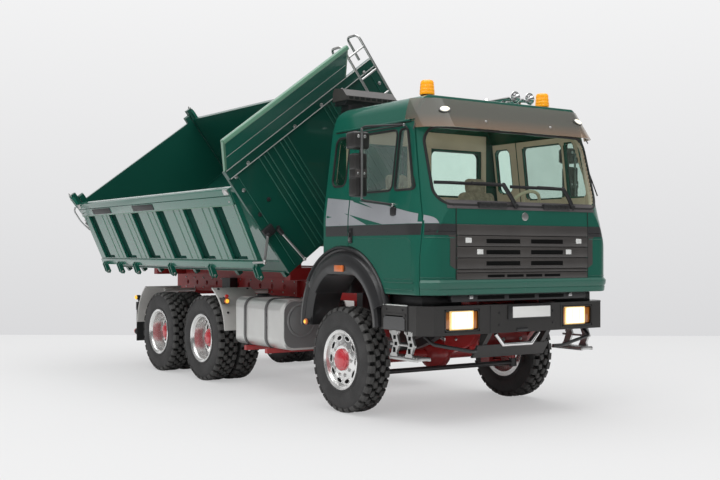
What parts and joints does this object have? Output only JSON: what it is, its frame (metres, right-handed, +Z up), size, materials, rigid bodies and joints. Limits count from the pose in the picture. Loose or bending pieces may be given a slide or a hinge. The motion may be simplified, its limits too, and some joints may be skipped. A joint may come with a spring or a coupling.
{
  "type": "scale model three-way tipper truck",
  "caption": "Scale model of a cab-over tipper truck with a tilting cab, opening doors, steered front wheels and a three-way bed shown tipped to its right side.",
  "frame": {"origin": "on the ground below the middle of the outer box, with the bed tipped as in the picture", "axes": "+X forward along the truck, +Y to the truck's left, +Z up"},
  "size_m": [0.531, 0.2602, 0.2913],
  "materials": {
    "green_paint": "dark green gloss",
    "red_paint": "dark red satin",
    "black_paint": "black satin",
    "dark_plastic": "dark grey matt",
    "black_plastic": "black matt",
    "bright_metal": "polished",
    "chrome": "bright",
    "rubber": "matt",
    "flap_rubber": "matt",
    "glass": "clear",
    "visor_tint": "tinted",
    "lamp_white": "clear lens",
    "lamp_amber": "amber lens",
    "steel": "machined"
  },
  "bodies": {
    "chassis": {"frame_rails": "red_paint", "tipper_subframe": "red_paint", "axles": "red_paint", "leaf_springs": "black_paint", "driveline": "black_paint", "fuel_tank": "bright_metal", "tank_straps": "black_paint", "battery_box": "black_paint", "mudguards": "bright_metal", "mud_flaps": "flap_rubber", "rear_lamps": "lamp_amber", "tow_coupling": "black_paint", "bumper": "dark_plastic", "headlamps": "lamp_white", "tow_hoop": "chrome", "entry_steps": "bright_metal", "air_intake": "black_plastic"},
    "cab": {"cab_floor": "black_plastic", "cab_rear_wall": "green_paint", "cab_side_panels": "green_paint", "cab_front": "green_paint", "cab_roof": "green_paint", "cab_glass": "glass", "grille": "black_plastic", "fenders": "black_plastic", "cab_lamps": "lamp_amber", "sun_visor": "visor_tint", "roof_horns": "chrome", "wipers": "black_plastic", "cab_interior": "dark_plastic"},
    "door_right": {"door_right": "green_paint", "door_glass_right": "glass", "mirrors_right": "black_plastic"},
    "door_left": {"door_left": "green_paint", "door_glass_left": "glass", "mirrors_left": "black_plastic"},
    "knuckle_right": {"knuckle_right": "red_paint"},
    "knuckle_left": {"knuckle_left": "red_paint"},
    "tie_rod": {"tie_rod": "black_paint"},
    "wheel_front_right": {"tyre_front_right": "rubber", "rim_front_right": "bright_metal"},
    "wheel_front_left": {"tyre_front_left": "rubber", "rim_front_left": "bright_metal"},
    "wheel_rear1_right": {"tyre_rear1_right": "rubber", "rim_rear1_right": "bright_metal"},
    "wheel_rear1_left": {"tyre_rear1_left": "rubber", "rim_rear1_left": "bright_metal"},
    "wheel_rear2_right": {"tyre_rear2_right": "rubber", "rim_rear2_right": "bright_metal"},
    "wheel_rear2_left": {"tyre_rear2_left": "rubber", "rim_rear2_left": "bright_metal"},
    "bed": {"bed_floor": "green_paint", "headboard": "green_paint", "ladder": "chrome"},
    "board_right": {"board_right": "green_paint"},
    "board_left": {"board_left": "green_paint"},
    "tailgate": {"tailgate": "green_paint"},
    "hoist_barrel": {"hoist_barrel": "steel"},
    "hoist_stage1": {"hoist_stage1": "steel"},
    "hoist_stage2": {"hoist_stage2": "steel"}
  },
  "joints": [
    {"name": "cab_tilt", "type": "hinge", "parent": "chassis", "child": "cab", "pos_m": [0.25535, 0.02313, 0.089], "axis": [0, 1, 0], "range_deg": [0, 50]},
    {"name": "door_right_hinge", "type": "hinge", "parent": "cab", "child": "door_right", "pos_m": [0.25415, -0.06117, 0.15], "axis": [0, 0, 1], "range_deg": [0, 65]},
    {"name": "door_left_hinge", "type": "hinge", "parent": "cab", "child": "door_left", "pos_m": [0.25415, 0.10743, 0.15], "axis": [0, 0, -1], "range_deg": [0, 65]},
    {"name": "steer_right", "type": "hinge", "parent": "chassis", "child": "knuckle_right", "pos_m": [0.16535, -0.03787, 0.038], "axis": [0, 0, 1], "range_deg": [-26, 26]},
    {"name": "steer_left", "type": "hinge", "parent": "chassis", "child": "knuckle_left", "pos_m": [0.16535, 0.08413, 0.038], "axis": [0, 0, 1], "range_deg": [-26, 26]},
    {"name": "tie_rod_slide", "type": "slide", "parent": "chassis", "child": "tie_rod", "axis": [0, 1, 0], "range_m": [-0.00909, 0.00909]},
    {"name": "wheel_front_right_spin", "type": "hinge", "parent": "knuckle_right", "child": "wheel_front_right", "pos_m": [0.16535, -0.05437, 0.038], "axis": [0, 1, 0], "continuous": true},
    {"name": "wheel_front_left_spin", "type": "hinge", "parent": "knuckle_left", "child": "wheel_front_left", "pos_m": [0.16535, 0.10063, 0.038], "axis": [0, 1, 0], "continuous": true},
    {"name": "wheel_rear1_right_spin", "type": "hinge", "parent": "chassis", "child": "wheel_rear1_right", "pos_m": [-0.06265, -0.04262, 0.038], "axis": [0, 1, 0], "continuous": true},
    {"name": "wheel_rear1_left_spin", "type": "hinge", "parent": "chassis", "child": "wheel_rear1_left", "pos_m": [-0.06265, 0.08888, 0.038], "axis": [0, 1, 0], "continuous": true},
    {"name": "wheel_rear2_right_spin", "type": "hinge", "parent": "chassis", "child": "wheel_rear2_right", "pos_m": [-0.15615, -0.04262, 0.038], "axis": [0, 1, 0], "continuous": true},
    {"name": "wheel_rear2_left_spin", "type": "hinge", "parent": "chassis", "child": "wheel_rear2_left", "pos_m": [-0.15615, 0.08888, 0.038], "axis": [0, 1, 0], "continuous": true},
    {"name": "bed_tip", "type": "hinge", "parent": "chassis", "child": "bed", "pos_m": [-0.08665, -0.03207, 0.109], "axis": [1, 0, 0], "range_deg": [-36.8, 8.2]},
    {"name": "board_right_hinge", "type": "hinge", "parent": "bed", "child": "board_right", "pos_m": [-0.09065, -0.10367, 0.16297], "axis": [-1, 0, 0], "range_deg": [-12.7, 30]},
    {"name": "board_left_hinge", "type": "hinge", "parent": "bed", "child": "board_left", "pos_m": [-0.09065, 0.02477, 0.25905], "axis": [1, 0, 0], "range_deg": [0, 45]},
    {"name": "tailgate_hinge", "type": "hinge", "parent": "bed", "child": "tailgate", "pos_m": [-0.26115, -0.04364, 0.21661], "axis": [0, 0.8007, 0.599], "range_deg": [0, 60]},
    {"name": "hoist_swing", "type": "hinge", "parent": "chassis", "child": "hoist_barrel", "pos_m": [-0.10265, 0.02313, 0.084], "axis": [1, 0, 0], "range_deg": [-11.68, 2.61]},
    {"name": "hoist_stage1_slide", "type": "slide", "parent": "hoist_barrel", "child": "hoist_stage1", "axis": [0, -0.2023, 0.9793], "range_m": [-0.01695, 0.00378]},
    {"name": "hoist_stage2_slide", "type": "slide", "parent": "hoist_stage1", "child": "hoist_stage2", "axis": [0, -0.2023, 0.9793], "range_m": [-0.01695, 0.00378]}
  ],
  "couplings": [
    {"joint": "steer_left", "follows": "steer_right", "ratio": 1},
    {"joint": "tie_rod_slide", "follows": "steer_right", "m_per_rad": 0.02},
    {"joint": "hoist_swing", "follows": "bed_tip", "ratio": 0.31722},
    {"joint": "hoist_stage1_slide", "follows": "bed_tip", "m_per_rad": 0.026369},
    {"joint": "hoist_stage2_slide", "follows": "bed_tip", "m_per_rad": 0.026369}
  ]
}
